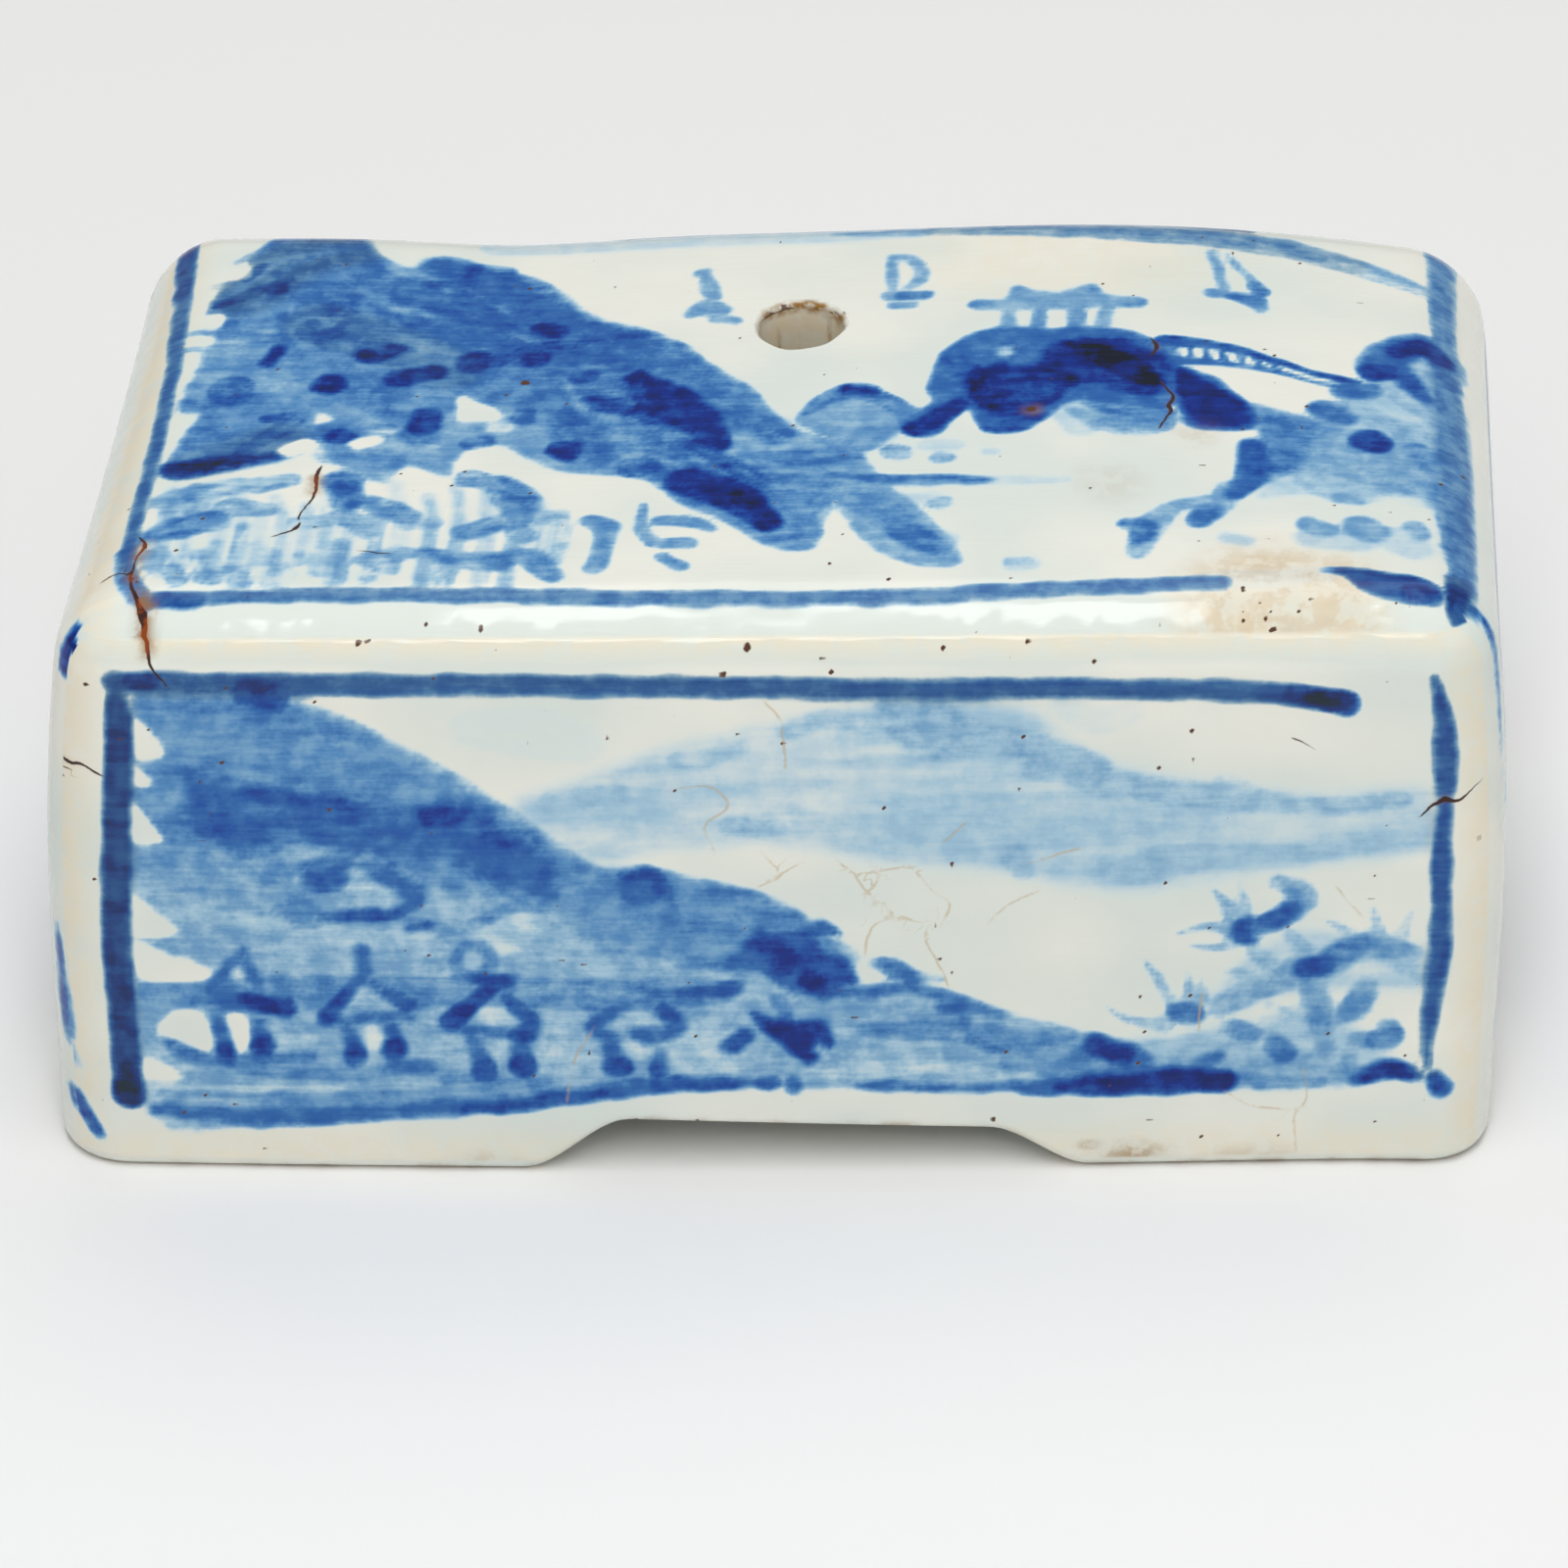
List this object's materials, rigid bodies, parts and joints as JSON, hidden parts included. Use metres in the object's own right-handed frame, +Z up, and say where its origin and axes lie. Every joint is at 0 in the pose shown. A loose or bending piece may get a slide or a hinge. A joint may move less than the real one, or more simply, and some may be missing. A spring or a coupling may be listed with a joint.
{
  "type": "water dropper",
  "caption": "Hollow rectangular porcelain water dropper for an inkstone, on low bracket feet, with a round filling mouth in the roof, a small pouring hole and a blue painted landscape.",
  "frame": {"origin": "middle of the base, on the plane that the feet stand on", "axes": "+X along the length to the right, +Y from the painted front to the back, +Z up"},
  "size_m": [0.1046, 0.0582, 0.047],
  "materials": {
    "porcelain_glaze": "glossy pale glaze over cobalt blue painting"
  },
  "bodies": {
    "root": {"porcelain_body": "porcelain_glaze"}
  },
  "joints": []
}
